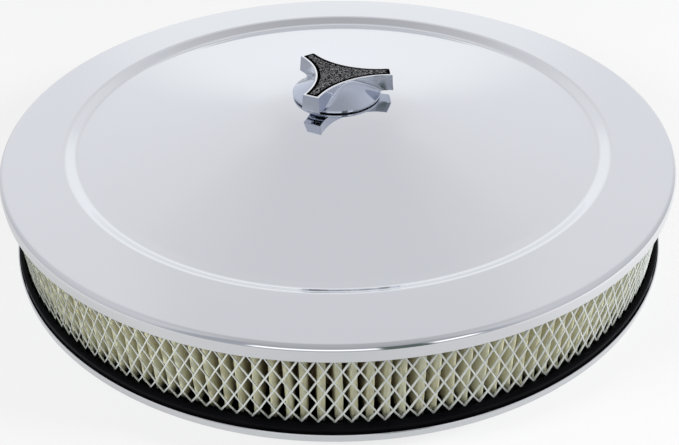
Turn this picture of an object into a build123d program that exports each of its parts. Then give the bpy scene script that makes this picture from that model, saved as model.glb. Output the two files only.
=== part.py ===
"""A 14 inch round carburetor air cleaner: two chromed pans that clamp a pleated paper element
between them, drawn together by a stud and a three-armed wing nut.

The part stands on the underside of its neck gasket. The origin is the centre of that face, and
+Z runs up the stud. Lengths are in millimetres and angles in degrees.
"""
from build123d import *
import os
from math import cos, pi, radians, sin, tan

os.makedirs("parts", exist_ok=True)

inch = 25.4

# Pressed sheet, and the room left between round faces that only pass each other
sheet = 0.9
running_gap = 0.3

# The lid's outside, from which the pan and the element take their diameters
lid_radius = 7.0 * inch

# Neck that sits over the carburetor's air horn
horn_diameter = 5.125 * inch
neck_clearance = 0.25
collar_height = 9.0
neck_bend_radius = 2.4
gasket_thickness = 3.2
gasket_width = 11.0
gasket_setback = 1.2
neck_drop = 9.5
neck_slope_width = 12.0

# Base pan
pan_overhang = 1.5
pan_radius = lid_radius + pan_overhang
pan_rim_height = 4.4
pan_corner_radius = 2.4
bead_height = 2.6
bead_width = 7.0
bead_gap = 1.0
bead_bend_radius = 1.4

# Paper element, measured from seat to seat
element_height = 2.0 * inch
element_width = 27.8
element_bore_radius = lid_radius - element_width
lower_lip_height = 7.6
upper_lip_height = 5.4
trough_depth = 5.6
lip_lean = 0.8
lip_round = 1.5
seat_round = 3.2
inner_lip_height = 6.8

# Guards of expanded metal, with diamonds in rings that are staggered by half a column
outer_guard_inset = 3.2
inner_guard_inset = 4.0
guard_outer_radius = lid_radius - outer_guard_inset
guard_inner_radius = element_bore_radius + inner_guard_inset
guard_thickness = 0.9
outer_guard_columns = 60
inner_guard_columns = 40
guard_rings = 2
strand_width = 2.0

# Pleats
pleat_count = 160
paper_thickness = 0.9
outer_pleat_gap = 0.7
inner_pleat_gap = 1.0
pleat_outer_radius = guard_outer_radius - guard_thickness - outer_pleat_gap
pleat_inner_radius = guard_inner_radius + inner_pleat_gap
crest_width = 1.3

# Lid
skirt_height = 7.6
rim_round = 3.0
step_clearance = 2.3
step_width = 6.1
step_outer_radius = element_bore_radius - step_clearance
step_inner_radius = step_outer_radius - step_width
step_depth = 3.5
step_round = 3.0
panel_edge_slope = 3.0
panel_edge_width = 6.0
crown_turn_radius = 62.0
crown_turn_slope = 15.6
nut_pad_radius = 14.0
stud_hole_clearance = 0.45

# Double-ended stud
stud_diameter = 0.25 * inch
stud_length = 2.5 * inch
stud_shank_diameter = 5.5
lower_thread_length = 16.0
upper_thread_length = 24.0
stud_engagement = 7.6
stud_end_chamfer = 0.6

# Wing nut and the washer captive under it
thread_clearance = 0.07
washer_thickness = 1.2
washer_radius = 7.6
nut_height = 11.4
nut_boss_radius = 8.0
arm_count = 3
first_arm_angle = 3.0
arm_tip_radius = 29.4
arm_tip_width = 9.0
arm_height = 8.7
waist_radius = 11.2
middle_waist_radius = 14.9
bell_radius = 25.0
bell_edge = 1.7
tip_draft = 4.0
hollow_height = 5.0
hollow_top_radius = 12.4
hollow_shoulder_radius = 14.0
hollow_shoulder_height = 3.0
hollow_rim_radius = 23.2
bore_end_gap = 1.4
recess_depth = 1.1
border_width = 1.0

# Inlay on top of the nut
inlay_gap = 0.05
inlay_thickness = 0.9
inlay_band_width = 1.5
inlay_field_height = 0.25

# Levels, from the gasket up
stud_radius = stud_diameter / 2
neck_radius = horn_diameter / 2 + neck_clearance
pan_underside_z = gasket_thickness + neck_drop
seat_z = pan_underside_z + sheet
element_top_z = seat_z + element_height
rim_z = element_top_z + sheet
panel_edge_z = rim_z - step_depth
panel_start_radius = step_inner_radius - panel_edge_width
panel_start_z = panel_edge_z + panel_edge_width * tan(radians(panel_edge_slope))
flare_slope = (panel_edge_slope + crown_turn_slope) / 2
crown_turn_z = panel_start_z + (panel_start_radius - crown_turn_radius) * tan(radians(flare_slope))
lid_top_z = crown_turn_z + (crown_turn_radius - nut_pad_radius) * tan(radians(crown_turn_slope / 2))
trough_z = seat_z + trough_depth
guard_height = element_height - 2 * trough_depth
nut_foot_z = lid_top_z + running_gap
nut_boss_z = lid_top_z + washer_thickness
nut_top_z = nut_foot_z + nut_height
recess_floor_z = nut_top_z - recess_depth
stud_top_z = lid_top_z + stud_engagement
stud_foot_z = stud_top_z - stud_length


# Base pan: one pressing. The profile follows its underside, which turns up at the neck to
# become the wall of the bore, and is then thickened to the sheet's gauge.
bead_outer = element_bore_radius - bead_gap
bead_inner = bead_outer - bead_width
gasket_outer_radius = neck_radius + gasket_setback + gasket_width
slope_foot_radius = gasket_outer_radius + running_gap + neck_bend_radius

with BuildPart() as base_pan:
    with BuildSketch(Plane.XZ):
        with BuildLine():
            FilletPolyline(
                (neck_radius, gasket_thickness + collar_height),
                (neck_radius, gasket_thickness),
                (slope_foot_radius, gasket_thickness),
                (slope_foot_radius + neck_slope_width, pan_underside_z),
                (bead_inner, pan_underside_z),
                (bead_inner + bead_height, pan_underside_z + bead_height),
                (bead_outer - bead_height, pan_underside_z + bead_height),
                (bead_outer, pan_underside_z),
                (pan_radius, pan_underside_z),
                (pan_radius, pan_underside_z + pan_rim_height),
                radius=[neck_bend_radius] * 3 + [bead_bend_radius] * 4 + [pan_corner_radius],
            )
            offset(amount=sheet, side=Side.LEFT)
        make_face()
    revolve(axis=Axis.Z)

# Neck gasket: a flat rubber ring under the pan, around the collar
with BuildPart() as neck_gasket:
    with BuildSketch():
        Circle(gasket_outer_radius)
        Circle(neck_radius + gasket_setback, mode=Mode.SUBTRACT)
    extrude(amount=gasket_thickness)


def seal_ring(outer_radius, lip_height, seat, up):
    """Moulded end ring: a flat seat, an outer and an inner lip, and a trough between them in
    which the paper and the guards are potted. It opens upwards for up = 1, downwards for -1."""
    trough_outer = guard_outer_radius + running_gap
    trough_inner = guard_inner_radius - guard_thickness - running_gap
    with BuildPart() as ring:
        with BuildSketch(Plane.XZ) as section:
            with BuildLine():
                Polyline(
                    (element_bore_radius, seat),
                    (outer_radius, seat),
                    (outer_radius, seat + up * lip_height),
                    (trough_outer + lip_lean, seat + up * lip_height),
                    (trough_outer, seat + up * trough_depth),
                    (trough_inner, seat + up * trough_depth),
                    (trough_inner - lip_lean, seat + up * inner_lip_height),
                    (element_bore_radius, seat + up * inner_lip_height),
                    close=True,
                )
            make_face()
            outer_corners = section.vertices().group_by(Axis.X)[-1].sort_by(Axis.Y, reverse=up < 0)
            fillet(outer_corners[0], seat_round)
            fillet(outer_corners[1], lip_round)
        revolve(axis=Axis.Z)
    return ring


# The lower ring lies inside the pan's upturned rim, the upper one inside the lid's skirt
filter_seal_lower = seal_ring(pan_radius - sheet - running_gap, lower_lip_height, seat_z, 1)
filter_seal_upper = seal_ring(lid_radius - sheet - running_gap, upper_lip_height, element_top_z, -1)


def fold_outline(crest_radius, crest_half_width, valley_radius, valley_half_width):
    """Corners of one face of the folded paper: a flat crest and a flat valley in every pleat."""
    pitch = 2 * pi / pleat_count
    corners = []
    for pleat in range(pleat_count):
        crest = pleat * pitch
        valley = crest + pitch / 2
        for radius, middle, half in (
            (crest_radius, crest, crest_half_width),
            (valley_radius, valley, valley_half_width),
        ):
            for side in (-1, 1):
                angle = middle + side * half / radius
                corners.append((radius * cos(angle), radius * sin(angle)))
    return corners


# Pleats: one strip of filter paper, folded to and fro and closed into a ring
half_paper = paper_thickness / 2
half_crest = crest_width / 2
with BuildPart() as filter_pleats:
    with BuildSketch(Plane.XY.offset(trough_z)):
        Polygon(
            *fold_outline(
                pleat_outer_radius, half_crest + half_paper,
                pleat_inner_radius + paper_thickness, half_crest - half_paper,
            ),
            align=None,
        )
        Polygon(
            *fold_outline(
                pleat_outer_radius - paper_thickness, half_crest - half_paper,
                pleat_inner_radius, half_crest + half_paper,
            ),
            align=None,
            mode=Mode.SUBTRACT,
        )
    extrude(amount=guard_height)


def expanded_guard(corner_radius, columns):
    """Expanded metal bent round in flats, one column of diamonds to a flat. Every second ring
    straddles the corners, and the end rings are cut through, so both edges end in points."""
    flat_angle = 180 / columns
    face_radius = corner_radius * cos(radians(flat_angle))
    back_radius = face_radius - guard_thickness
    half_flat = face_radius * tan(radians(flat_angle))
    half_back = back_radius * tan(radians(flat_angle))
    ring_pitch = guard_height / (guard_rings + 1)
    half_width = half_flat - strand_width / 2
    half_height = half_width * ring_pitch / half_flat
    centres = []
    for ring in range(guard_rings + 2):
        sides = (0,) if ring % 2 == 0 else (-half_flat, half_flat)
        centres += [(side, ring * ring_pitch) for side in sides]
    with BuildPart() as flat:
        with BuildSketch(Plane.XY.offset(trough_z)):
            Polygon(
                (face_radius, -half_flat), (face_radius, half_flat),
                (back_radius, half_back), (back_radius, -half_back),
                align=None,
            )
        extrude(amount=guard_height)
        with BuildSketch(Plane(origin=(face_radius, 0, trough_z), x_dir=(0, 1, 0), z_dir=(1, 0, 0))):
            with Locations(*centres):
                Polygon((half_width, 0), (0, half_height), (-half_width, 0), (0, -half_height))
        extrude(amount=2 * guard_thickness, both=True, mode=Mode.SUBTRACT)
    with BuildPart() as guard:
        with PolarLocations(0, columns):
            add(flat.part)
    return guard


outer_guard = expanded_guard(guard_outer_radius, outer_guard_columns)
inner_guard = expanded_guard(guard_inner_radius, inner_guard_columns)

# Lid: one pressing with a flat pad under the nut, a crowned panel that flares out to the
# recess, the step up to the flat outer ring, and the skirt turned down round the element
with BuildPart() as lid:
    with BuildSketch(Plane.XZ):
        with BuildLine():
            pad = Line(
                (stud_radius + stud_hole_clearance, lid_top_z),
                (nut_pad_radius, lid_top_z),
            )
            crown = TangentArc(pad @ 1, (crown_turn_radius, crown_turn_z), tangent=pad % 1)
            flare = TangentArc(crown @ 1, (panel_start_radius, panel_start_z), tangent=crown % 1)
            FilletPolyline(
                flare @ 1,
                (step_inner_radius, panel_edge_z),
                (step_outer_radius, rim_z),
                (lid_radius, rim_z),
                (lid_radius, rim_z - skirt_height),
                radius=[step_round, step_round, rim_round],
            )
            offset(amount=sheet, side=Side.RIGHT)
        make_face()
    revolve(axis=Axis.Z)

# Stud: a rod threaded at both ends, with a thinner shank between the threads
with BuildPart() as stud:
    with BuildSketch(Plane.XY.offset(stud_foot_z)):
        Circle(stud_radius)
    extrude(amount=lower_thread_length)
    with BuildSketch(Plane.XY.offset(stud_foot_z)):
        Circle(stud_shank_diameter / 2)
    extrude(amount=stud_length)
    with BuildSketch(Plane.XY.offset(stud_top_z)):
        Circle(stud_radius)
    extrude(amount=-upper_thread_length)
    ends = stud.edges().filter_by(GeomType.CIRCLE).group_by(Axis.Z)
    chamfer([ends[0], ends[-1]], stud_end_chamfer)

# Washer: a fibre seal that stays in the hollow of the nut and lies on the lid's pad
with BuildPart() as nut_washer:
    with BuildSketch(Plane.XY.offset(lid_top_z)):
        Circle(washer_radius)
        Circle(stud_radius + stud_hole_clearance, mode=Mode.SUBTRACT)
    extrude(amount=washer_thickness)


def star(grow, waist):
    """Outline of the nut at one level: square arm ends, moved outwards by grow, joined by arcs
    that pass through the waist, at its distance from the axis."""

    def tip_corner(arm, side):
        angle = radians(first_arm_angle + arm * 360 / arm_count)
        out = arm_tip_radius + grow
        across = side * (arm_tip_width / 2 + grow)
        return (out * cos(angle) - across * sin(angle), out * sin(angle) + across * cos(angle))

    with BuildSketch() as outline:
        with BuildLine():
            for arm in range(arm_count):
                waist_angle = radians(first_arm_angle + (arm + 0.5) * 360 / arm_count)
                middle = (waist * cos(waist_angle), waist * sin(waist_angle))
                Line(tip_corner(arm, -1), tip_corner(arm, 1))
                ThreePointArc(tip_corner(arm, 1), middle, tip_corner(arm + 1, -1))
        make_face()
    return outline


arm_star = star(0, waist_radius)
bell_depth = nut_height - bell_edge

# Wing nut: a die casting. Its sides run from the star on top, scooped out between the arms, to
# a round foot. The arms end above the foot. Inside are a hollow and a boss for the thread, and
# a shallow recess on top takes the inlay
with BuildPart() as wing_nut:
    for depth, waist in (
        (0, waist_radius), (bell_depth / 2, middle_waist_radius), (bell_depth, bell_radius),
    ):
        with BuildSketch(Plane.XY.offset(nut_top_z - depth)):
            add(star(depth * tan(radians(tip_draft)), waist).sketch)
    loft()
    with BuildSketch(Plane.XY.offset(nut_foot_z)):
        Circle(2 * arm_tip_radius)
        Circle(bell_radius, mode=Mode.SUBTRACT)
    extrude(amount=nut_height - arm_height, mode=Mode.SUBTRACT)
    with BuildSketch(Plane.XY.offset(nut_foot_z)):
        Circle(bell_radius)
    extrude(amount=bell_edge)
    with BuildSketch(Plane.XZ):
        Polygon(
            (0, nut_foot_z),
            (0, nut_boss_z),
            (nut_boss_radius, nut_boss_z),
            (nut_boss_radius, nut_foot_z + hollow_height),
            (hollow_top_radius, nut_foot_z + hollow_height),
            (hollow_shoulder_radius, nut_foot_z + hollow_shoulder_height),
            (hollow_rim_radius, nut_foot_z),
            align=None,
        )
    revolve(axis=Axis.Z, mode=Mode.SUBTRACT)
    with BuildSketch(Plane.XY.offset(nut_boss_z)):
        Circle(stud_radius + thread_clearance)
    extrude(amount=stud_top_z + bore_end_gap - nut_boss_z, mode=Mode.SUBTRACT)
    with BuildSketch(Plane.XY.offset(nut_top_z)):
        add(arm_star.sketch)
        offset(amount=-border_width, kind=Kind.INTERSECTION)
    extrude(amount=-recess_depth, mode=Mode.SUBTRACT)

# Inlay: a moulded plate let into the recess, with a plain band around a raised grained field
with BuildPart() as nut_inlay:
    with BuildSketch(Plane.XY.offset(recess_floor_z)):
        add(arm_star.sketch)
        offset(amount=-border_width - inlay_gap, kind=Kind.INTERSECTION)
    extrude(amount=inlay_thickness)
    with BuildSketch(Plane.XY.offset(recess_floor_z)):
        add(arm_star.sketch)
        offset(amount=-border_width - inlay_band_width, kind=Kind.INTERSECTION)
    extrude(amount=inlay_thickness + inlay_field_height)

pieces = {
    "base_pan": base_pan,
    "neck_gasket": neck_gasket,
    "filter_seal_lower": filter_seal_lower,
    "filter_seal_upper": filter_seal_upper,
    "filter_pleats": filter_pleats,
    "outer_guard": outer_guard,
    "inner_guard": inner_guard,
    "lid": lid,
    "stud": stud,
    "nut_washer": nut_washer,
    "wing_nut": wing_nut,
    "nut_inlay": nut_inlay,
}
for name, piece in pieces.items():
    piece.part.label = name
    export_step(piece.part, f"parts/{name}.step")
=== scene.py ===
import bmesh
import bpy
import numpy as np
from mathutils import Matrix, Vector


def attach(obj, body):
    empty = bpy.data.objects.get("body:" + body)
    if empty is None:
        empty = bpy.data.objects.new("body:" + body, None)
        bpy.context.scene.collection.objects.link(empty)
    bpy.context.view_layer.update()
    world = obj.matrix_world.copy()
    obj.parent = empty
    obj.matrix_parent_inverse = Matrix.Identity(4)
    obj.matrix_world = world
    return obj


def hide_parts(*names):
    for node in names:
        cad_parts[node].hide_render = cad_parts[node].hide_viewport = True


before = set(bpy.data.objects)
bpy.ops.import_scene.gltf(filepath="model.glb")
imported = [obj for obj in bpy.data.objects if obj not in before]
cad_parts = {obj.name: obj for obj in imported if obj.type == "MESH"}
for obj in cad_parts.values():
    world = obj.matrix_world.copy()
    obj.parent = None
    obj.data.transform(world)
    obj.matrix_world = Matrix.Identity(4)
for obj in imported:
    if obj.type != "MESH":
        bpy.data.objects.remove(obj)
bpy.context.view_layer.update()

# Camera: a moderately long lens, 450 mm from the middle of the lid's rim and 29 degrees above
# it, aimed a little lower than the rim. It leans and turns by less than a degree.
mm = 0.001
rim_level = 65.3
camera_distance = 450.0
camera_height_angle = 0.5034
camera_tilt = 0.1284
camera_pan = -0.0015
camera_roll = -0.0117
focal_pixels = 808.22
picture_width = 679.0
sensor_width = 36.0

camera = bpy.data.objects.new("camera", bpy.data.cameras.new("camera"))
bpy.context.scene.collection.objects.link(camera)
bpy.context.scene.camera = camera
camera.data.sensor_width = sensor_width
camera.data.lens = focal_pixels * sensor_width / picture_width
camera.data.clip_start = 0.02
camera.data.clip_end = 50.0
look_down = camera_height_angle + camera_tilt
forward = np.array([
    -np.sin(camera_pan) * np.cos(look_down),
    np.cos(camera_pan) * np.cos(look_down),
    -np.sin(look_down),
])
right = np.cross(forward, (0, 0, 1))
right /= np.linalg.norm(right)
up = np.cross(right, forward)
leaning_right = np.cos(camera_roll) * right + np.sin(camera_roll) * up
leaning_up = np.cos(camera_roll) * up - np.sin(camera_roll) * right
camera_place = np.array([
    0.0,
    -camera_distance * np.cos(camera_height_angle),
    camera_distance * np.sin(camera_height_angle) + rim_level,
])
camera_matrix = np.eye(4)
camera_matrix[:3, 0] = leaning_right
camera_matrix[:3, 1] = leaning_up
camera_matrix[:3, 2] = -forward
camera_matrix[:3, 3] = camera_place * mm
camera.matrix_world = Matrix(camera_matrix.tolist())

# Base pan: one pressing of 0.9 mm steel, chromed all over. Its neck turns up over the air horn,
# a bead stiffens the floor inside the element, and the rim is turned up round the lower seal.
sheet = 0.9
pan_neck_radius = 65.3375
pan_neck_top = 12.2
pan_neck_foot = 3.2
pan_slope_foot = 80.2375
pan_slope_width = 12.0
pan_underside = 12.7
pan_bead_outer = 149.0
pan_bead_inner = 142.0
pan_bead_height = 2.6
pan_radius = 179.3
pan_rim_height = 4.4
pan_bend = 2.4
bead_bend = 1.4
hem_bend = 1.1
run_margin = 0.12
merge_distance = 2e-7


def straight_run(start, end, spacing):
    """Points from start to end without the start: one close to each end, which keeps an arc's
    shading off the run, and even steps of at most the spacing between those two."""
    length = np.hypot(*(end - start))
    margin = min(run_margin, length / 3)
    steps = max(2, int(length / spacing) + 2)
    along = np.append(np.linspace(margin, length - margin, steps), length) / length
    return start + along[:, None] * (end - start)


def rounded_path(corners, radii, spacing=4.0, steps=11):
    """Straight runs joined by arcs. The arc at a corner touches both runs, so it starts
    radius * tan(turn / 2) before the corner, and its points turn evenly about its centre."""
    corners = np.array(corners, float)
    parts = [corners[:1]]
    last = corners[0]
    for before, corner, after, radius in zip(corners, corners[1:], corners[2:], radii):
        arriving = (corner - before) / np.hypot(*(corner - before))
        leaving = (after - corner) / np.hypot(*(after - corner))
        turn = np.arctan2(
            arriving[0] * leaving[1] - arriving[1] * leaving[0], arriving @ leaving
        )
        reach = radius * np.tan(abs(turn) / 2)
        start = corner - arriving * reach
        spoke = np.sign(turn) * radius * np.array([arriving[1], -arriving[0]])
        angle = np.linspace(0, turn, steps)[1:, None]
        turned = spoke * np.cos(angle) + np.array([-spoke[1], spoke[0]]) * np.sin(angle)
        parts += [straight_run(last, start, spacing), start - spoke + turned]
        last = corner + leaving * reach
    parts.append(straight_run(last, corners[-1], spacing))
    return np.concatenate(parts)


def sheet_section(path, gauge, side):
    """Closed section of a bent sheet: the path, its copy moved by the gauge along the normals
    (to the left for side 1, to the right for -1), and a half round over each cut edge."""
    step = np.diff(path, axis=0)
    step /= np.hypot(*step.T)[:, None]
    tangent = np.concatenate([step[:1], step[1:] + step[:-1], step[-1:]])
    tangent /= np.hypot(*tangent.T)[:, None]
    normal = side * np.stack([-tangent[:, 1], tangent[:, 0]], 1)
    angle = np.linspace(0, np.pi, 8)[1:-1, None]
    half = gauge / 2

    def edge(place, outward, across):
        return place + half * (across * (1 - np.cos(angle)) + outward * np.sin(angle))

    far_edge = edge(path[-1], tangent[-1], normal[-1])
    near_edge = edge(path[0], -tangent[0], normal[0])[::-1]
    return np.concatenate([path, far_edge, (path + gauge * normal)[::-1], near_edge])


def surface(name, points):
    """One quad between every four neighbours of a grid of points, in millimetres. Rows and
    columns that meet, and rows that shrink to one point, are then merged into one skin."""
    rows, columns = points.shape[:2]
    index = np.arange(rows * columns).reshape(rows, columns)
    quads = np.stack([index[:-1, :-1], index[:-1, 1:], index[1:, 1:], index[1:, :-1]], -1)
    mesh = bpy.data.meshes.new(name)
    mesh.from_pydata(points.reshape(-1, 3) * mm, [], quads.reshape(-1, 4))
    skin = bmesh.new()
    skin.from_mesh(mesh)
    bmesh.ops.remove_doubles(skin, verts=skin.verts, dist=merge_distance)
    skin.to_mesh(mesh)
    skin.free()
    mesh.polygons.foreach_set("use_smooth", np.ones(len(mesh.polygons), bool))
    piece = bpy.data.objects.new(name, mesh)
    bpy.context.scene.collection.objects.link(piece)
    return piece


def lathe(name, section, segments=356):
    """Turns a closed section about Z: its point (r, z) becomes the ring (r cos a, r sin a, z).
    A section that runs clockwise is reversed first, so that the faces point outwards."""
    r, z = np.append(section, section[:1], 0).T
    if np.sum(r[:-1] * z[1:] - r[1:] * z[:-1]) < 0:
        r, z = r[::-1], z[::-1]
    angle = np.linspace(0, 2 * np.pi, segments + 1)
    ring = [np.outer(r, np.cos(angle)), np.outer(r, np.sin(angle)), np.outer(z, 0 * angle + 1)]
    return surface(name, np.stack(ring, -1))


def node(tree, kind, sockets=None, **fields):
    """Adds a shader node. fields are its own settings, and sockets maps the name or number of
    an input to a value, or to the output that feeds it."""
    made = tree.nodes.new("ShaderNode" + kind)
    for field, value in fields.items():
        setattr(made, field, value)
    for socket, value in (sockets or {}).items():
        if isinstance(value, bpy.types.NodeSocket):
            tree.links.new(value, made.inputs[socket])
        else:
            made.inputs[socket].default_value = value
    return made


def ramp(tree, factor, stops):
    """A colour ramp with one stop for every (position, grey or colour)."""
    made = node(tree, "ValToRGB", {0: factor})
    elements = made.color_ramp.elements
    while len(elements) < len(stops):
        elements.new(1.0)
    for element, (position, colour) in zip(elements, stops):
        element.position = position
        element.color = (*colour, 1) if isinstance(colour, tuple) else (colour,) * 3 + (1,)
    return made.outputs["Color"]


def effect_group(name, inputs, outputs):
    """An empty node group with number inputs {name: value} and the named number outputs."""
    group = bpy.data.node_groups.new(name, "ShaderNodeTree")
    for socket, value in inputs.items():
        made = group.interface.new_socket(socket, in_out="INPUT", socket_type="NodeSocketFloat")
        made.default_value = value
    for socket in outputs:
        group.interface.new_socket(socket, in_out="OUTPUT", socket_type="NodeSocketFloat")
    return group, group.nodes.new("NodeGroupInput"), group.nodes.new("NodeGroupOutput")


def finish_material(name, **constants):
    """A material whose Principled shader has the given constants on its own sockets."""
    material = bpy.data.materials.new(name)
    material.use_nodes = True
    shader = material.node_tree.nodes["Principled BSDF"]
    for socket, value in constants.items():
        shader.inputs[socket.replace("_", " ")].default_value = value
    return material, material.node_tree, shader


# Chrome plate: the buffed steel under it keeps faint long waves, and handling leaves a thin
# haze in patches. Both are shared by the pan, the lid and the nut at their own scale.
plating, plating_in, plating_out = effect_group(
    "buffed plate", {"Wave Scale": 20.0, "Haze Scale": 9.0, "Least Roughness": 0.05,
                     "Most Roughness": 0.1}, ("Roughness", "Height"))
place = node(plating, "TexCoord").outputs["Object"]
waves = node(plating, "TexNoise", {"Vector": place, "Scale": plating_in.outputs["Wave Scale"],
                                   "Detail": 1.0, "Roughness": 0.4})
haze = node(plating, "TexNoise", {"Vector": place, "Scale": plating_in.outputs["Haze Scale"],
                                  "Detail": 6.0, "Roughness": 0.62})
gloss = node(plating, "MapRange", {
    "Value": haze.outputs[0], "From Min": 0.35, "From Max": 0.7,
    "To Min": plating_in.outputs["Least Roughness"],
    "To Max": plating_in.outputs["Most Roughness"]})
plating.links.new(gloss.outputs[0], plating_out.inputs["Roughness"])
plating.links.new(waves.outputs[0], plating_out.inputs["Height"])


def chrome(name, colour, wave_scale, haze_scale, least_roughness, most_roughness, wave_height):
    """Polished plate: a metal whose roughness and faint waves come from the plating group."""
    material, tree, shader = finish_material(name, Metallic=1.0, Base_Color=(*colour, 1))
    plate = node(tree, "Group", node_tree=plating)
    plate.inputs["Wave Scale"].default_value = wave_scale
    plate.inputs["Haze Scale"].default_value = haze_scale
    plate.inputs["Least Roughness"].default_value = least_roughness
    plate.inputs["Most Roughness"].default_value = most_roughness
    relief = node(tree, "Bump", {"Height": plate.outputs["Height"], "Strength": 1.0,
                                 "Distance": wave_height})
    tree.links.new(plate.outputs["Roughness"], shader.inputs["Roughness"])
    tree.links.new(relief.outputs["Normal"], shader.inputs["Normal"])
    return material


pan_chrome = chrome("pan_chrome", (0.80, 0.81, 0.825), 16.0, 10.0, 0.06, 0.12, 0.00004)
pan_path = rounded_path(
    [
        (pan_neck_radius, pan_neck_top - sheet / 2),
        (pan_neck_radius, pan_neck_foot),
        (pan_slope_foot, pan_neck_foot),
        (pan_slope_foot + pan_slope_width, pan_underside),
        (pan_bead_inner, pan_underside),
        (pan_bead_inner + pan_bead_height, pan_underside + pan_bead_height),
        (pan_bead_outer - pan_bead_height, pan_underside + pan_bead_height),
        (pan_bead_outer, pan_underside),
        (pan_radius, pan_underside),
        (pan_radius, pan_underside + pan_rim_height - sheet / 2),
    ],
    [pan_bend] * 3 + [bead_bend] * 4 + [hem_bend],
)
pan_pressing = lathe("pan_pressing", sheet_section(pan_path, sheet, 1))
pan_pressing.data.materials.append(pan_chrome)
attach(pan_pressing, "cleaner")
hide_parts("base_pan")

# Neck gasket: a flat ring punched from black rubber sheet, loose round the collar. The cut
# ring keeps the sheet's calendered grain.
rubber_skin, rubber_in, rubber_out = effect_group(
    "rubber skin", {"Grain Scale": 900.0, "Patch Scale": 25.0}, ("Height", "Patches"))
place = node(rubber_skin, "TexCoord").outputs["Object"]
grain = node(rubber_skin, "TexNoise", {"Vector": place, "Detail": 3.0, "Roughness": 0.6,
                                       "Scale": rubber_in.outputs["Grain Scale"]})
patches = node(rubber_skin, "TexNoise", {"Vector": place, "Detail": 5.0, "Roughness": 0.6,
                                         "Scale": rubber_in.outputs["Patch Scale"]})
rubber_skin.links.new(grain.outputs[0], rubber_out.inputs["Height"])
rubber_skin.links.new(patches.outputs[0], rubber_out.inputs["Patches"])


def rubber(name, dark, pale, grain_scale, patch_scale, least_roughness, most_roughness, depth):
    """Black rubber: patches of bloom shift its colour and gloss, and fine grain breaks them."""
    material, tree, shader = finish_material(name)
    skin = node(tree, "Group", node_tree=rubber_skin)
    skin.inputs["Grain Scale"].default_value = grain_scale
    skin.inputs["Patch Scale"].default_value = patch_scale
    tone = ramp(tree, skin.outputs["Patches"], [(0.35, dark), (0.75, pale)])
    gloss = node(tree, "MapRange", {
        "Value": skin.outputs["Patches"], "From Min": 0.3, "From Max": 0.7,
        "To Min": least_roughness, "To Max": most_roughness})
    relief = node(tree, "Bump", {"Height": skin.outputs["Height"], "Strength": 0.6,
                                 "Distance": depth})
    tree.links.new(tone, shader.inputs["Base Color"])
    tree.links.new(gloss.outputs[0], shader.inputs["Roughness"])
    tree.links.new(relief.outputs["Normal"], shader.inputs["Normal"])
    return material


gasket_rubber = rubber("gasket_rubber", (0.022, 0.022, 0.023), (0.045, 0.044, 0.043),
                       700.0, 30.0, 0.55, 0.8, 0.00008)
neck_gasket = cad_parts["neck_gasket"]
neck_gasket.data.materials.clear()
neck_gasket.data.materials.append(gasket_rubber)

# Seals: moulded end rings of soft black rubber that hold the paper and both guards. The lower
# one lies in the pan's upturned rim, the upper one hangs in the lid's skirt.
seal_rubber = rubber("seal_rubber", (0.0015, 0.0015, 0.002), (0.004, 0.004, 0.005),
                     420.0, 60.0, 0.30, 0.42, 0.00005)
seal_shader = seal_rubber.node_tree.nodes["Principled BSDF"]
seal_shader.inputs["Specular IOR Level"].default_value = 0.03
lid_radius = 177.8
seal_gap = 1.2
seal_segments = 400
seat_level = 13.6
element_top = 64.4
bore_radius = 150.0
trough_outer = 174.9
trough_inner = 152.8
trough_depth = 5.6
lip_lean = 0.8
lower_lip = 7.6
upper_lip = 5.4
inner_lip = 6.8
seal_bends = [3.2, 1.5, 0.6, 0.25, 0.25, 0.5, 0.6, 0.6]


def seal_ring(name, outer_radius, lip_height, seat, up, node_name):
    """Lathed ring: flat seat, round-shouldered outer lip, potting trough and inner lip."""
    corners = [
        (bore_radius + 6, seat),
        (outer_radius, seat),
        (outer_radius, seat + up * lip_height),
        (trough_outer + lip_lean, seat + up * lip_height),
        (trough_outer, seat + up * trough_depth),
        (trough_inner, seat + up * trough_depth),
        (trough_inner - lip_lean, seat + up * inner_lip),
        (bore_radius, seat + up * inner_lip),
        (bore_radius, seat),
        (bore_radius + 6, seat),
    ]
    section = rounded_path(corners, seal_bends, spacing=3.0, steps=8)
    ring = lathe(name, section[:-1], seal_segments)
    ring.data.materials.append(seal_rubber)
    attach(ring, "cleaner")
    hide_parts(node_name)


seal_ring("lower_seal", pan_radius - seal_gap, lower_lip, seat_level, 1, "filter_seal_lower")
seal_ring("upper_seal", lid_radius - seal_gap, upper_lip, element_top, -1, "filter_seal_upper")

# Pleats: one strip of cream filter paper, folded to and fro 160 times and closed into a ring.
# The folds are soft and never quite alike, and their feet spread a little in the potting.
pleat_count = 160
pleat_samples = 24
pleat_middle = 163.8
pleat_reach = 8.9
fold_sharpness = 1.7
wall_steepness = 0.5
pleat_lean = 0.15
steepness_spread = 0.25
shift_spread = 0.1
sway_spread = 0.08
bow_spread = 0.35
belly_spread = 0.3
foot_spread = 0.7
foot_length = 1.6
paper_gauge = 0.55
first_fold = -0.30
element_foot = 19.2
element_head = 58.8
draw = np.random.default_rng(17)

fold = np.arange(pleat_count * pleat_samples + 1) / pleat_samples
crest = np.rint(fold).astype(int) % pleat_count
nearness = 0.5 + 0.5 * np.cos(2 * np.pi * fold)
height = np.linspace(0, 1, 10)[:, None]


def each_crest(spread):
    """One random number per pleat, from -spread to spread, at every point nearest its crest."""
    return draw.uniform(-spread, spread, pleat_count)[crest]


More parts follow.
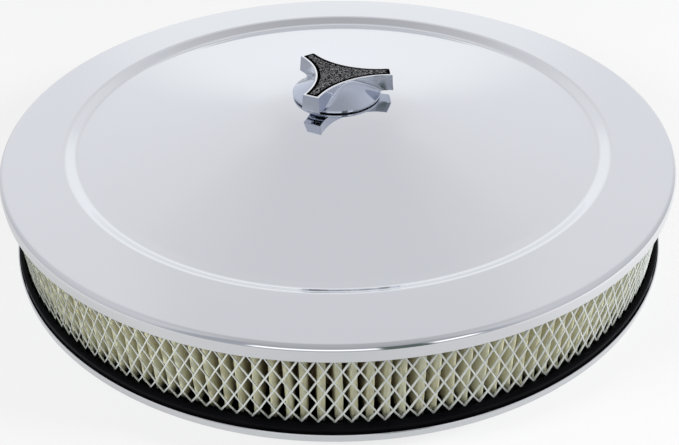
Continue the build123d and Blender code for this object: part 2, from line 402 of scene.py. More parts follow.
def pleated_strip():
    """Radius middle + reach * w with w = tanh(k cos 2 pi s) / tanh k, s counting pleats, and
    angle p (s + c sin(4 pi s) / 4 pi + lean * w). Near each crest it is shifted, swayed and
    bowed at random, and it stands out a little at its foot."""
    wave = np.tanh(fold_sharpness * np.cos(2 * np.pi * fold)) / np.tanh(fold_sharpness)
    sway = np.sin(2 * np.pi * (height * (0.7 + each_crest(0.3)) + each_crest(0.5)))
    shift = nearness * (each_crest(shift_spread) + each_crest(sway_spread) * sway)
    widen = wall_steepness + each_crest(steepness_spread)
    turn = fold + widen * np.sin(4 * np.pi * fold) / (4 * np.pi) + shift + pleat_lean * wave
    foot = foot_spread * np.exp(-height * (element_head - element_foot) / foot_length)
    bow = each_crest(bow_spread) - bow_spread + each_crest(belly_spread) * np.sin(np.pi * height)
    radius = pleat_middle + pleat_reach * wave + nearness * bow + nearness * foot
    angle = (turn + first_fold) * 2 * np.pi / pleat_count
    level = element_foot + (element_head - element_foot) * height + 0 * fold
    return np.stack([radius * np.cos(angle), radius * np.sin(angle), level], -1)


paper, tree, shader = finish_material("filter_paper", Specular_IOR_Level=0.25)
place = node(tree, "TexCoord").outputs["Object"]
axis_distance = node(tree, "VectorMath", {
    0: node(tree, "VectorMath", {0: place, 1: (1, 1, 0)}, operation="MULTIPLY").outputs[0]},
    operation="LENGTH")
# Painted shade: towards the axis the paper turns dark brown, so the recesses between the pleats look
# shaded.
depth = node(tree, "MapRange", {"Value": axis_distance.outputs["Value"],
                                "From Min": 0.158, "From Max": 0.1725})
stain = node(tree, "TexNoise", {"Vector": place, "Scale": 45.0, "Detail": 4.0,
                                "Roughness": 0.6})
fibres = node(tree, "TexNoise", {"Vector": node(tree, "Mapping", {
    "Vector": place, "Scale": (1, 1, 0.35)}).outputs[0], "Scale": 2600.0, "Detail": 3.0})
resin = ramp(tree, stain.outputs[0], [(0.3, (0.56, 0.53, 0.33)), (0.55, (0.68, 0.68, 0.48)),
                                      (0.8, (0.78, 0.79, 0.64))])
recess_shaded_paper = node(tree, "Mix", {0: depth.outputs[0], 6: (0.40, 0.31, 0.17, 1), 7: resin},
              data_type="RGBA")
flecks = node(tree, "Mix", {0: node(tree, "MapRange", {
    "Value": fibres.outputs[0], "From Min": 0.4, "From Max": 0.75, "To Max": 0.35}).outputs[0],
    6: recess_shaded_paper.outputs[2], 7: (0.80, 0.79, 0.68, 1)}, data_type="RGBA")
tooth = node(tree, "Bump", {"Height": fibres.outputs[0], "Strength": 0.5,
                            "Distance": 0.00006})
dryness = node(tree, "MapRange", {"Value": stain.outputs[0], "To Min": 0.75, "To Max": 0.95})
tree.links.new(flecks.outputs[2], shader.inputs["Base Color"])
tree.links.new(dryness.outputs[0], shader.inputs["Roughness"])
tree.links.new(tooth.outputs["Normal"], shader.inputs["Normal"])

pleats = surface("paper_pleats", pleated_strip())
gauge = pleats.modifiers.new("paper gauge", "SOLIDIFY")
gauge.thickness = paper_gauge * mm
gauge.offset = 0
pleats.data.materials.append(paper)
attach(pleats, "cleaner")
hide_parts("filter_pleats")

# Guards: galvanised steel sheet, slit and drawn out into diamonds, one rolled round outside
# the pleats and one inside. Each strand is twisted a little, so one family catches the light.
guard_gauge = 0.5
diamond_half_height = 6.1
foot_half_height = 5.6
guard_foot = element_foot + 0.2
outer_guard_radius = 174.6
inner_guard_radius = 153.9
guard_bond = (0.40, 0.56)

galvanised, tree, shader = finish_material("guard_steel", Metallic=0.35)
place = node(tree, "TexCoord").outputs["Object"]
spangle = node(tree, "TexVoronoi", {"Vector": place, "Scale": 420.0, "Randomness": 1.0})
dulled = node(tree, "TexNoise", {"Vector": place, "Scale": 60.0, "Detail": 5.0})
zinc = ramp(tree, dulled.outputs[0], [(0.3, (0.60, 0.63, 0.60)), (0.7, (0.74, 0.77, 0.75))])
facets = node(tree, "HueSaturation", {"Color": zinc, "Value": node(tree, "MapRange", {
    "Value": spangle.outputs["Distance"], "From Max": 0.6, "To Min": 0.92, "To Max": 1.06,
}).outputs[0]})
gloss = node(tree, "MapRange", {"Value": dulled.outputs[0], "From Min": 0.3, "From Max": 0.7,
                                "To Min": 0.28, "To Max": 0.5})
tree.links.new(facets.outputs[0], shader.inputs["Base Color"])
tree.links.new(gloss.outputs[0], shader.inputs["Roughness"])


def expanded_metal(name, radius, columns, first, tilt, node_name):
    """Rows of rhombic bonds, every second row half a column further on. A strand joins the
    upper edges of a bond to the lower edges of its two neighbours above, and the points of a
    bond stand out from the cylinder by tilt, so that the strands twist. Angle is x / radius."""
    bond_half_width, bond_half_height = guard_bond
    pitch = 2 * np.pi * radius / columns
    rows = int((element_head - element_foot - foot_half_height) / diamond_half_height) + 3
    levels = guard_foot + foot_half_height + diamond_half_height * np.arange(-1, rows - 1.)
    levels[0] = guard_foot + bond_half_height
    row, column = np.meshgrid(np.arange(rows), np.arange(columns), indexing="ij")
    centre = (column + first + 0.5 * (row % 2)) * pitch
    corners = {
        "left": (-bond_half_width, 0, tilt[0]), "top": (0, bond_half_height, tilt[1]),
        "right": (bond_half_width, 0, tilt[2]), "bottom": (0, -bond_half_height, tilt[3]),
    }
    points = []
    for across, above, out in corners.values():
        for depth in (0, guard_gauge):
            far = radius + out - depth
            angle = (centre + across) / radius
            level = levels[row] + above
            points.append(np.stack([far * np.cos(angle), far * np.sin(angle), level], -1))
    points = np.stack(points, 2)
    order = np.arange(rows * columns * 8).reshape(rows, columns, 8)
    left, left_in, top, top_in, side, side_in, low, low_in = np.moveaxis(order, 2, 0)
    quads = [(left, low, side, top), (left_in, top_in, side_in, low_in)]
    even = row[:-1] % 2 == 0
    for leans_right in (True, False):
        step = np.where(even, 0, 1) if leans_right else np.where(even, -1, 0)
        next_row = order[1:][np.arange(rows - 1)[:, None], (column[:-1] + step) % columns]
        next_left, next_left_in, _, _, next_side, next_side_in, next_low, next_low_in = (
            np.moveaxis(next_row, 2, 0))
        if leans_right:
            start = [v[:-1] for v in (side, top, top_in, side_in)]
            end = [next_low, next_left, next_left_in, next_low_in]
        else:
            start = [v[:-1] for v in (top, left, left_in, top_in)]
            end = [next_side, next_low, next_low_in, next_side_in]
        quads += [(start[k], end[k], end[k - 3], start[k - 3]) for k in range(4)]
    lowest = [v[0] for v in (left, left_in, low, low_in, side, side_in)]
    highest = [v[-1] for v in (side, side_in, top, top_in, left, left_in)]
    for rim in (lowest, highest):
        for k in (0, 2):
            quads.append((rim[k], rim[k + 1], rim[k + 3], rim[k + 2]))
    quads = np.concatenate([np.stack(corner, -1).reshape(-1, 4) for corner in quads])
    mesh = bpy.data.meshes.new(name)
    mesh.from_pydata(points.reshape(-1, 3) * mm, [], quads)
    guard = bpy.data.objects.new(name, mesh)
    bpy.context.scene.collection.objects.link(guard)
    guard.data.materials.append(galvanised)
    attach(guard, "cleaner")
    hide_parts(node_name)


expanded_metal("outer_guard_mesh", outer_guard_radius, 159, -0.125, (-0.1, -0.15, 0.2, 0.1),
               "outer_guard")
expanded_metal("inner_guard_mesh", inner_guard_radius, 140, 0.0, (-0.1, -0.15, 0.0, 0.1),
               "inner_guard")

# Lid: one pressing of chromed steel. A flat pad under the nut runs into a crown that flares out
# to a shallow valley, and a soft step, a flat ring and a rolled rim lead to the skirt.
lid_top = 80.7421
stud_hole = 3.625
nut_pad = 14.0
crown_turn = (62.0, 74.1669)
crown_slope = np.radians(11.7)
panel_edge = (135.6, 62.1144)
panel_slope = np.radians(6.9)
skirt_height = 7.6
step_outer = 145.6
step_inner = 140.3
step_depth = 3.5
step_foot_bend = 4.5
step_head_bend = 5.0
rim_bend = 3.0


def crown_run(start, end, first_slope, last_slope, easing, steps):
    """Run from start to end whose slope goes from first to last as 1 - (1 - u)^easing, u being
    the share of its length: its points are the running sum of (cos slope, -sin slope), scaled
    to reach the end."""
    share = np.linspace(0, 1, 2 * steps + 1)[1::2]
    slope = first_slope + (last_slope - first_slope) * (1 - (1 - share) ** easing)
    path = np.cumsum(np.stack([np.cos(slope), -np.sin(slope)], 1), 0)
    return np.array(start) + path / path[-1] * (np.array(end) - start)


lid_chrome = chrome("lid_chrome", (0.82, 0.825, 0.84), 14.0, 8.0, 0.04, 0.085, 0.00003)
lid_path = np.concatenate([
    np.linspace((stud_hole + sheet / 2, lid_top), (nut_pad, lid_top), 6),
    crown_run((nut_pad, lid_top), crown_turn, 0, crown_slope, easing=2.0, steps=30),
    crown_run(crown_turn, panel_edge, crown_slope, panel_slope, easing=1.0, steps=34),
    rounded_path(
        [
            panel_edge,
            (step_inner, rim_level - step_depth),
            (step_outer, rim_level),
            (lid_radius, rim_level),
            (lid_radius, rim_level - skirt_height + sheet / 2),
        ],
        [step_foot_bend, step_head_bend, rim_bend],
        spacing=3.0,
        steps=14,
    )[1:],
])
lid_pressing = lathe("lid_pressing", sheet_section(lid_path, sheet, -1))
lid_pressing.data.materials.append(lid_chrome)
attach(lid_pressing, "cleaner")
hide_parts("lid")

# Stud: a zinc-plated rod with a rolled quarter-inch thread at both ends, screwed into the
# carburetor. Its upper end reaches through the lid into the nut.
stud_foot = 24.8421
stud_length = 63.5
thread_major = 3.175
thread_minor = 2.47
shank_radius = 2.75
thread_pitch = 1.27
lower_thread = 16.0
upper_thread = 24.0
thread_fade = 1.5


def threaded_rod():
    """Radius minor + (major - minor) * w at angle a and height z, where w is a rounded triangle
    wave of z / pitch - a / 2 pi. The thread dies into the shank, and both tips are chamfered."""
    thread_end = stud_length - upper_thread
    level = np.concatenate([
        np.linspace(0, lower_thread, 128),
        np.linspace(lower_thread, thread_end, 8)[1:-1],
        np.linspace(thread_end, stud_length, 190),
    ])[:, None]
    angle = np.linspace(0, 2 * np.pi, 33)
    wave = 0.5 + 0.5 * np.sin(2 * np.pi * level / thread_pitch - angle)
    thread = thread_minor + (thread_major - thread_minor) * wave ** 0.7
    to_shank = np.minimum(abs(level - lower_thread), abs(level - thread_end))
    share = np.minimum(to_shank / thread_fade, 1)
    plain = (level > lower_thread) & (level < thread_end)
    radius = np.where(plain, shank_radius, shank_radius + (thread - shank_radius) * share)
    to_tip = np.minimum(level, stud_length - level)
    radius = np.minimum(radius, thread_minor - 0.1 + to_tip * 1.2)
    radius = np.concatenate([0 * radius[:1], radius, 0 * radius[-1:]])
    level = np.concatenate([level[:1], level, level[-1:]]) + stud_foot
    return np.stack([radius * np.cos(angle), radius * np.sin(angle), level + 0 * angle], -1)


stud_steel, tree, shader = finish_material("stud_steel", Metallic=1.0)
place = node(tree, "TexCoord").outputs["Object"]
passivation = node(tree, "TexNoise", {"Vector": place, "Scale": 90.0, "Detail": 4.0})
zinc = ramp(tree, passivation.outputs[0], [
    (0.3, (0.66, 0.64, 0.58)), (0.55, (0.70, 0.69, 0.66)), (0.75, (0.72, 0.68, 0.55))])
gloss = node(tree, "MapRange", {"Value": passivation.outputs[0], "To Min": 0.22, "To Max": 0.45})
tree.links.new(zinc, shader.inputs["Base Color"])
tree.links.new(gloss.outputs[0], shader.inputs["Roughness"])
threaded_stud = surface("threaded_stud", threaded_rod())
threaded_stud.data.materials.append(stud_steel)
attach(threaded_stud, "cleaner")
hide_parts("stud")

# Washer: a fibre ring punched from dark sheet, captive under the nut, so that turning the nut
# doesn't mark the plating.
fibre, tree, shader = finish_material("washer_fibre", Specular_IOR_Level=0.3)
place = node(tree, "TexCoord").outputs["Object"]
matted = node(tree, "TexNoise", {"Vector": place, "Scale": 1100.0, "Detail": 6.0})
dark_fibre = ramp(tree, matted.outputs[0], [(0.35, (0.06, 0.055, 0.05)), (0.7, (0.12, 0.11, 0.1))])
gloss = node(tree, "MapRange", {"Value": matted.outputs[0], "To Min": 0.6, "To Max": 0.85})
felt = node(tree, "Bump", {"Height": matted.outputs[0], "Strength": 0.6, "Distance": 0.00005})
tree.links.new(dark_fibre, shader.inputs["Base Color"])
tree.links.new(gloss.outputs[0], shader.inputs["Roughness"])
tree.links.new(felt.outputs["Normal"], shader.inputs["Normal"])
nut_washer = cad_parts["nut_washer"]
nut_washer.data.materials.clear()
nut_washer.data.materials.append(fibre)

# Wing nut: a chromed die casting. Three arms with nearly upright walls stand on a round bell
# that flares to the foot, and a border surrounds the recess for the inlay. The top face of the
# casting is painted nearly white, a painted highlight.
nut_top = 92.4421
nut_foot = 81.0421
arm_tip = 29.4
arm_width = 9.0
arm_height = 8.7
waist = 11.2
first_arm = np.radians(3.0)
wall_draft = np.tan(np.radians(4.0))
bell_neck = 10.2
bell_flare = 1.6
foot_radius = 23.8
foot_edge = 1.2
border = 1.0
recess_depth = 1.1
third = 2 * np.pi / 3
corner_softness = 0.4
top_softness = 0.3
foot_softness = 3.0
beyond_arms = 90.0
border_edge = 0.14
top_edge = 0.28
arm_edge = 0.3
bell_edge = 0.2
foot_round = 0.35
nut_hollow = [(22.4, 0.0), (22.3, 0.1), (14.2, 2.9), (13.9, 3.1), (12.4, 4.9), (12.2, 5.0), (8.2, 5.0),
              (8.0, 4.8), (8.0, 1.1), (7.8, 0.9), (3.6, 0.9), (3.25, 1.2), (3.25, 8.6), (0.0, 8.7)]
casting_colour = (0.56, 0.60, 0.69)
painted_highlight_colour = (0.94, 0.95, 0.96)


def softer_lesser(a, b, softness):
    """The lesser of two radii, with a round where they cross."""
    return b - softness * np.logaddexp(0, (b - a) / softness)


def star_radius(angle, depth=0.0, inset=0.0):
    """Distance from the axis to the star's outline at a depth below its top, moved in by
    inset. The arm ends lie at x = tip. Between them runs the arc through both corners and the
    waist w. With k = (c cos q - w) / (c^2 - w^2), c and q being a corner's distance and angle,
    and p = w - k w^2, its radius is 2 p / (cos b + sqrt(cos^2 b - 4 k p)) at the angle b."""
    grow = depth * wall_draft
    tip, half_width, low = arm_tip + grow, arm_width / 2 + grow, waist + grow
    corner = np.hypot(tip, half_width)
    corner_turn = third / 2 - np.arctan2(half_width, tip)
    bend = (corner * np.cos(corner_turn) - low) / (corner ** 2 - low ** 2)
    low -= inset
    tip -= inset
    from_arm = (angle - first_arm + third / 2) % third - third / 2
    from_hollow = third / 2 - abs(from_arm)
    reach = low - bend * low ** 2
    inside = np.cos(from_hollow) ** 2 - 4 * bend * reach
    arc = 2 * reach / (np.cos(from_hollow) + np.sqrt(np.maximum(inside, 0)))
    arc = np.where(inside > 0, arc, beyond_arms)
    return softer_lesser(arc, tip / np.cos(from_arm), corner_softness)


def bell_radius(depth):
    """Radius of the bell: neck + (foot - neck) * (depth / bell's depth) ^ flare."""
    share = depth / (nut_top - nut_foot - foot_edge)
    return bell_neck + (foot_radius - bell_neck) * share ** bell_flare


def fillet(angle, depth):
    """Metal added where the star and the bell cross: soft * log(1 + exp(-gap / soft)), gap
    being the difference of their radii. It grows from the top of the nut to its foot."""
    soft = top_softness + (foot_softness - top_softness) * depth / (nut_top - nut_foot)
    return soft * np.log1p(np.exp(-abs(star_radius(angle, depth) - bell_radius(depth)) / soft))


def casting_radius(angle, depth):
    """The greater of the star's and the bell's radius, with the fillet on it."""
    return np.maximum(star_radius(angle, depth), bell_radius(depth)) + fillet(angle, depth)


def arm_angles(around_corner, along_arc):
    """Angles round the nut, closest together at the corners of the arm ends."""
    near = np.concatenate([np.linspace(0, 7, 8)[:-1], np.linspace(7, 12, around_corner)[:-1],
                           np.linspace(12, 60, along_arc)])
    one = np.concatenate([-near[::-1][:-1], near])[:-1]
    return first_arm + np.radians(np.append((one + np.array([[0], [120], [240]])).ravel(), 300))


def nut_grid():
    """One row per level of the casting, from the middle of the recess over the border, down
    the side, in under the arms, down to the foot, round it and up the hollow to the bore."""
    angle = arm_angles(26, 56)
    ones = np.ones_like(angle)
    rows = []

    def add(radius, level):
        rows.append(np.stack([radius * ones * np.cos(angle), radius * ones * np.sin(angle),
                              level * ones], -1))

    recess_floor = nut_top - recess_depth
    inner = star_radius(angle, 0, border)
    for share in (0.0, 0.4, 0.8, 1.0):
        add(share * inner, recess_floor)
    for level in (recess_floor + 0.05, recess_floor + 0.5, nut_top - 0.2):
        add(inner, level)
    for bend in np.radians([20, 45, 70, 90]):
        add(star_radius(angle, 0, border - border_edge * (1 - np.cos(bend))),
            nut_top - border_edge * (1 - np.sin(bend)))
    for bend in np.radians([0, 18, 36, 54, 72]):
        add(star_radius(angle, 0, top_edge * (1 - np.sin(bend))),
            nut_top - top_edge * (1 - np.cos(bend)))
    underside = nut_top - arm_height
    for level in np.linspace(nut_top - 0.4, underside + arm_edge, 44):
        add(casting_radius(angle, nut_top - level), level)
    bell = bell_radius(arm_height) + fillet(angle, arm_height)
    for bend in np.radians([25, 50, 75, 90]):
        level = underside + arm_edge * (1 - np.sin(bend))
        side = casting_radius(angle, nut_top - level)
        spare = np.clip(side - bell, 0, arm_edge)
        add(side - spare * (1 - np.cos(bend)), level)
    side = casting_radius(angle, arm_height)
    spare = np.maximum(side - bell, 0)
    for share in (0.3, 0.6, 0.85, 1.0):
        add(side - np.maximum(share * spare, np.minimum(spare, arm_edge)), underside)
    bell_foot = nut_foot + foot_edge
    for fade in np.linspace(0.95, 0.02, 12):
        level = bell_foot + fade * (underside - bell_foot)
        add(bell_radius(nut_top - level) + fade * fillet(angle, nut_top - level), level)
    for bend in np.radians([60, 30, 0]):
        add(foot_radius - bell_edge * (1 - np.cos(bend)), bell_foot - bell_edge * (1 - np.sin(bend)))
    for bend in np.radians([0, 30, 60, 90]):
        add(foot_radius - foot_round * (1 - np.cos(bend)), nut_foot + foot_round * (1 - np.sin(bend)))
    for radius, rise in nut_hollow:
        add(radius, nut_foot + rise)
    return np.stack(rows[::-1])


nut_chrome = chrome("nut_chrome", casting_colour, 160.0, 70.0, 0.05, 0.12, 0.00003)
tree = nut_chrome.node_tree
level = node(tree, "SeparateXYZ", {0: node(tree, "TexCoord").outputs["Object"]}).outputs["Z"]
# Painted highlight: over the top 0.3 mm of the nut the base colour turns from the darker casting
# colour to nearly white, so the top face and border look lit.
buffed = node(tree, "MapRange", {"Value": level, "From Min": (nut_top - 0.3) * mm,
                                 "From Max": (nut_top - 0.05) * mm})
plate = node(tree, "Mix", {0: buffed.outputs[0], 6: (*casting_colour, 1), 7: (*painted_highlight_colour, 1)},
             data_type="RGBA")
tree.links.new(plate.outputs[2], tree.nodes["Principled BSDF"].inputs["Base Color"])
nut_casting = surface("nut_casting", nut_grid())
nut_casting.data.materials.append(nut_chrome)
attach(nut_casting, "nut")
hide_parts("wing_nut")

# Inlay: a black moulded plate let into the recess. A smooth band runs round a raised field
# whose leather grain is moulded in.
inlay_gap = 0.05
inlay_thickness = 0.9
inlay_band = 1.5
inlay_edge = 0.15
field_rise = 0.25
pebble_size = 0.85
pebble_height = 0.16
pebble_groove = 0.4
grain_period = 128


def pebbles(x, y):
    """Leather grain: cells about jittered points of a square grid. The height is the distance
    to the second nearest point less that to the nearest, up to a limit, so grooves run along
    the cell edges and each pebble has a flat top of its own height."""
    cell_x, cell_y = np.floor(x / pebble_size), np.floor(y / pebble_size)
    nearest = np.full(x.shape, 9.0)
    second = np.full(x.shape, 9.0)
    own = np.zeros(x.shape)
    jitter = np.random.default_rng(5).random((3, grain_period, grain_period))
    for step_x in (-1, 0, 1):
        for step_y in (-1, 0, 1):
            i = (cell_x + step_x).astype(int) % grain_period
            j = (cell_y + step_y).astype(int) % grain_period
            away = np.hypot((cell_x + step_x + jitter[0, i, j]) - x / pebble_size,
                            (cell_y + step_y + jitter[1, i, j]) - y / pebble_size)
            closer = away < nearest
            second = np.where(closer, nearest, np.minimum(second, away))
            own = np.where(closer, jitter[2, i, j], own)
            nearest = np.where(closer, away, nearest)
    return np.minimum((second - nearest) / pebble_groove, 1) * (0.6 + 0.4 * own)


def inlay_grid():
    """One row per outline of the plate: under it, up its edge, across the band, up the step of
    the field and in to the middle, with the grain added to the field's height. The grain fades
    out at the field's edge and in the very middle."""
    angle = arm_angles(14, 70)
    rows = []

    def add(radius, level):
        rows.append(np.stack([radius * np.cos(angle), radius * np.sin(angle), level + 0 * angle], -1))

    plate_foot = nut_top - recess_depth + 0.01
    plate_top = plate_foot + inlay_thickness
    for share in (0.0, 0.5, 1.0):
        add(share * star_radius(angle, 0, border + inlay_gap), plate_foot)
    for bend in np.radians([0, 45, 90]):
        add(star_radius(angle, 0, border + inlay_gap + inlay_edge * (1 - np.cos(bend))),
            plate_top - inlay_edge * (1 - np.sin(bend)))
    for outside, rise in ((0.15, 0.0), (0.0, 0.03), (-0.1, 0.2), (-0.2, 0.25)):
        add(star_radius(angle, 0, border + inlay_band - outside), plate_top + rise)
    field = star_radius(angle, 0, border + inlay_band + 0.2)
    for share in np.linspace(0.985, 0, 84):
        radius = share * field
        grain = pebbles(radius * np.cos(angle), radius * np.sin(angle)) - 0.4
        fade = min(1.0, (1 - share) * 25) * min(1, share * 40)
        add(radius, plate_top + field_rise + pebble_height * fade * grain)
    return np.stack(rows)


inlay_black, tree, shader = finish_material("inlay_plastic", Specular_IOR_Level=0.0)
place = node(tree, "TexCoord").outputs["Object"]
handled = node(tree, "TexNoise", {"Vector": place, "Scale": 120.0, "Detail": 4.0})
# Painted glints: grey flecks along the creases of the grain, in patches and only on its highest
# points, stand in for light catching the grain.
creases = node(tree, "TexVoronoi", {"Vector": place, "Scale": 1150.0, "Randomness": 1.0},
               feature="DISTANCE_TO_EDGE")
glint_patches = node(tree, "TexNoise", {"Vector": place, "Scale": 900.0, "Detail": 3.0})
level = node(tree, "SeparateXYZ", {0: place}).outputs["Z"]
raised = node(tree, "MapRange", {"Value": level, "From Min": (nut_top - 0.06) * mm,
                                 "From Max": (nut_top + 0.02) * mm})
thread = node(tree, "MapRange", {"Value": creases.outputs["Distance"], "From Min": 0.02,
                                 "From Max": 0.2, "To Min": 1.0, "To Max": 0.0})
patchy = node(tree, "MapRange", {"Value": glint_patches.outputs[0], "From Min": 0.38, "From Max": 0.6})
painted_glint = node(tree, "Math", {0: thread.outputs[0], 1: patchy.outputs[0]}, operation="MULTIPLY")
painted_glint = node(tree, "Math", {0: painted_glint.outputs[0], 1: raised.outputs[0]}, operation="MULTIPLY")
black = ramp(tree, handled.outputs[0], [(0.3, 0.001), (0.8, 0.003)])
glinting_black = node(tree, "Mix", {0: painted_glint.outputs[0], 6: black, 7: (0.42, 0.42, 0.44, 1)},
               data_type="RGBA")
gloss = node(tree, "MapRange", {"Value": handled.outputs[0], "From Min": 0.3, "From Max": 0.7,
                                "To Min": 0.28, "To Max": 0.42})
relief = node(tree, "Bump", {"Height": creases.outputs["Distance"], "Strength": 0.6,
                             "Distance": 0.00005})
tree.links.new(glinting_black.outputs[2], shader.inputs["Base Color"])
tree.links.new(gloss.outputs[0], shader.inputs["Roughness"])
tree.links.new(relief.outputs["Normal"], shader.inputs["Normal"])
grained_inlay = surface("grained_inlay", inlay_grid())
grained_inlay.data.materials.append(inlay_black)
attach(grained_inlay, "nut")
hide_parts("nut_inlay")

# Studio: a white floor that keeps a soft shadow, two soft boxes beside the part, and a pale tent
# round it. Polished metal sees the tent darker in front and overhead, with two windows and a post.
floor_half = 12.0
floor_level = -0.0002
window_colour = (1.35, 1.36, 1.40, 1)
window_rise = (0.25, 0.5)
left_window = (-0.42, 0.18)
right_window = (0.48, 0.64)
post_colour = (0.11, 0.14, 0.13, 1)
post_span = (0.22, 0.43)
soft_light = (0.32, 0.32, 0.33, 1)
shown_white = (1, 1, 1, 1)

bpy.context.scene.view_settings.view_transform = "Standard"
floor_mesh = bpy.data.meshes.new("floor")
floor_corners = [(x * floor_half, y * floor_half, floor_level)
                 for x, y in ((-1, -1), (1, -1), (1, 1), (-1, 1))]
floor_mesh.from_pydata(floor_corners, [], [(0, 1, 2, 3)])
floor = bpy.data.objects.new("floor", floor_mesh)
bpy.context.scene.collection.objects.link(floor)


def bearing(tree, vector):
    """The x and y of the level direction of a vector, as a node with an X and a Y output."""
    level = node(tree, "VectorMath", {0: vector, 1: (1, 1, 0)}, operation="MULTIPLY")
    unit = node(tree, "VectorMath", {0: level.outputs[0]}, operation="NORMALIZE")
    return node(tree, "SeparateXYZ", {0: unit.outputs[0]})


def between(tree, value, low, high, soft):
    """1 where the value lies between low and high, falling to 0 over soft outside them."""
    above = node(tree, "MapRange", {"Value": value, "From Min": low - soft, "From Max": low})
    below = node(tree, "MapRange", {"Value": value, "From Min": high, "From Max": high + soft,
                                    "To Min": 1.0, "To Max": 0.0})
    return node(tree, "Math", {0: above.outputs[0], 1: below.outputs[0]},
                operation="MULTIPLY").outputs[0]


floor_white, tree, shader = finish_material("floor_white", Roughness=0.9,
                                            Base_Color=(0.86, 0.86, 0.86, 1))
shader.inputs["Specular IOR Level"].default_value = 0.1
rays = node(tree, "LightPath")
# Painted light: as seen in the metal, the floor is painted darker in front and brightest on the right.
to_right = bearing(tree, node(tree, "NewGeometry").outputs["Position"])
across = node(tree, "MapRange", {"Value": to_right.outputs["X"], "From Min": -1.0})
painted_floor_light = ramp(tree, across.outputs[0], [
    (0.0, (0.72, 0.73, 0.74)), (0.25, (0.63, 0.64, 0.65)), (0.5, (0.55, 0.57, 0.58)),
    (0.8, (0.68, 0.69, 0.71)), (0.97, (0.96, 0.98, 1.0))])
shown = node(tree, "Mix", {0: rays.outputs["Is Glossy Ray"], 6: (1.03, 1.03, 1.03, 1),
                           7: painted_floor_light}, data_type="RGBA")
seen = node(tree, "Math", {0: rays.outputs["Is Camera Ray"], 1: rays.outputs["Is Glossy Ray"]},
            operation="ADD")
seen = node(tree, "Math", {0: seen.outputs[0], 1: rays.outputs["Is Transmission Ray"]},
            operation="ADD", use_clamp=True)
share = node(tree, "Math", {0: seen.outputs[0], 1: 0.7}, operation="MULTIPLY")
white = node(tree, "Emission", {"Color": shown.outputs[2], "Strength": 1.0})
mixed = node(tree, "MixShader", {0: share.outputs[0], 1: shader.outputs[0], 2: white.outputs[0]})
below = node(tree, "MixShader", {0: node(tree, "NewGeometry").outputs["Backfacing"],
                                 1: mixed.outputs[0],
                                 2: node(tree, "BsdfTransparent").outputs[0]})
tree.links.new(below.outputs[0], tree.nodes["Material Output"].inputs["Surface"])
floor_mesh.materials.append(floor_white)


def soft_box(name, azimuth, elevation, distance, width, depth, power):
    """A rectangular lamp aimed at the lid, which reflections leave out. Azimuth 0 is in front
    of the part and 90 at its right."""
    turn, rise = np.radians(azimuth), np.radians(elevation)
    way = Vector((np.sin(turn) * np.cos(rise), -np.cos(turn) * np.cos(rise), np.sin(rise)))
    lamp = bpy.data.objects.new(name, bpy.data.lights.new(name, "AREA"))
    lamp.data.shape = "RECTANGLE"
    lamp.data.size = width
    lamp.data.size_y = depth
    lamp.data.energy = power
    lamp.location = way * distance + Vector((0, 0, rim_level * mm))
    lamp.rotation_mode = "QUATERNION"
    lamp.rotation_quaternion = way.to_track_quat("Z", "Y")
    lamp.visible_glossy = False
    bpy.context.scene.collection.objects.link(lamp)


soft_box("left_box", -62, 27, 1.5, 0.5, 0.4, 12.0)
soft_box("right_box", 78, 26, 1.5, 0.4, 0.4, 17.0)

world = bpy.data.worlds.new("tent")
bpy.context.scene.world = world
world.use_nodes = True
tree = world.node_tree
direction = node(tree, "TexCoord").outputs["Generated"]
rise = node(tree, "SeparateXYZ", {0: direction}).outputs["Z"]
turn = bearing(tree, direction)
behind = ramp(tree, rise, [
    (0.0, (0.96, 0.985, 1.03)), (0.30, (0.95, 0.975, 1.0)), (0.39, (0.92, 0.945, 0.98)),
    (0.48, (0.82, 0.83, 0.87)), (0.67, (0.72, 0.73, 0.77)), (0.84, (0.69, 0.70, 0.74)),
    (0.94, (0.50, 0.51, 0.53)), (1.0, (0.47, 0.48, 0.50))])
beside = ramp(tree, rise, [
    (0.0, (0.89, 0.91, 0.95)), (0.30, (0.84, 0.855, 0.90)), (0.50, (0.815, 0.83, 0.87)),
    (0.65, (0.79, 0.80, 0.84)), (0.72, (0.74, 0.75, 0.79)), (0.84, (0.68, 0.69, 0.73)),
    (0.94, (0.50, 0.51, 0.53)), (1.0, (0.47, 0.48, 0.50))])
front = ramp(tree, rise, [
    (0.0, (0.48, 0.49, 0.52)), (0.4, (0.38, 0.40, 0.45)), (0.8, (0.42, 0.43, 0.46)),
    (1.0, (0.47, 0.48, 0.50))])
side = ramp(tree, rise, [
    (0.0, (0.58, 0.59, 0.63)), (0.3, (0.61, 0.62, 0.66)), (0.6, (0.65, 0.66, 0.70)),
    (0.8, (0.65, 0.66, 0.70)), (0.93, (0.56, 0.57, 0.60)), (1.0, (0.47, 0.48, 0.50))])
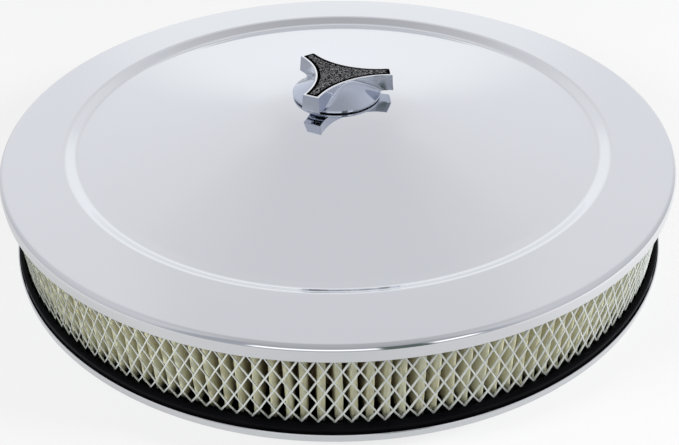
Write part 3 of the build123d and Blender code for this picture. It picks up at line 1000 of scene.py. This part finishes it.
to_front, to_rear, to_middle = [
    node(tree, "MapRange", {"Value": turn.outputs["Y"], "From Min": low, "From Max": high},
         interpolation_type="SMOOTHSTEP")
    for low, high in ((-0.5, -0.75), (0.45, 0.9), (0.935, 0.98))]
rear = node(tree, "Mix", {0: to_middle.outputs[0], 6: beside, 7: behind}, data_type="RGBA")
tent = node(tree, "Mix", {0: to_front.outputs[0], 6: side, 7: front}, data_type="RGBA")
tent = node(tree, "Mix", {0: to_rear.outputs[0], 6: tent.outputs[2], 7: rear.outputs[2]},
            data_type="RGBA")
ahead = node(tree, "Math", {0: turn.outputs["Y"], 1: 0.0}, operation="LESS_THAN").outputs[0]
pane_rise = between(tree, rise, *window_rise, 0.05)
left_pane = between(tree, turn.outputs["X"], *left_window, 0.05)
right_pane = between(tree, turn.outputs["X"], *right_window, 0.04)
panes = node(tree, "Math", {0: left_pane, 1: right_pane}, operation="ADD")
panes = node(tree, "Math", {0: panes.outputs[0], 1: pane_rise}, operation="MULTIPLY")
panes = node(tree, "Math", {0: panes.outputs[0], 1: ahead}, operation="MULTIPLY")
tent = node(tree, "Mix", {0: panes.outputs[0], 6: tent.outputs[2], 7: window_colour},
            data_type="RGBA")
post_rise = node(tree, "MapRange", {"Value": rise, "From Min": 0.62, "From Max": 0.72,
                                    "To Min": 1.0, "To Max": 0.0})
post = between(tree, turn.outputs["X"], *post_span, 0.03)
post = node(tree, "Math", {0: post, 1: post_rise.outputs[0]}, operation="MULTIPLY")
post = node(tree, "Math", {0: post.outputs[0], 1: ahead}, operation="MULTIPLY")
tent = node(tree, "Mix", {0: post.outputs[0], 6: tent.outputs[2], 7: post_colour},
            data_type="RGBA")
rays = node(tree, "LightPath")
plain = node(tree, "Mix", {0: rays.outputs["Is Camera Ray"], 6: soft_light, 7: shown_white},
             data_type="RGBA")
plain = node(tree, "Mix", {0: rays.outputs["Is Transmission Ray"], 6: plain.outputs[2],
                           7: shown_white}, data_type="RGBA")
shown = node(tree, "Mix", {0: rays.outputs["Is Glossy Ray"], 6: plain.outputs[2],
                           7: tent.outputs[2]}, data_type="RGBA")
tree.links.new(shown.outputs[2], tree.nodes["Background"].inputs["Color"])
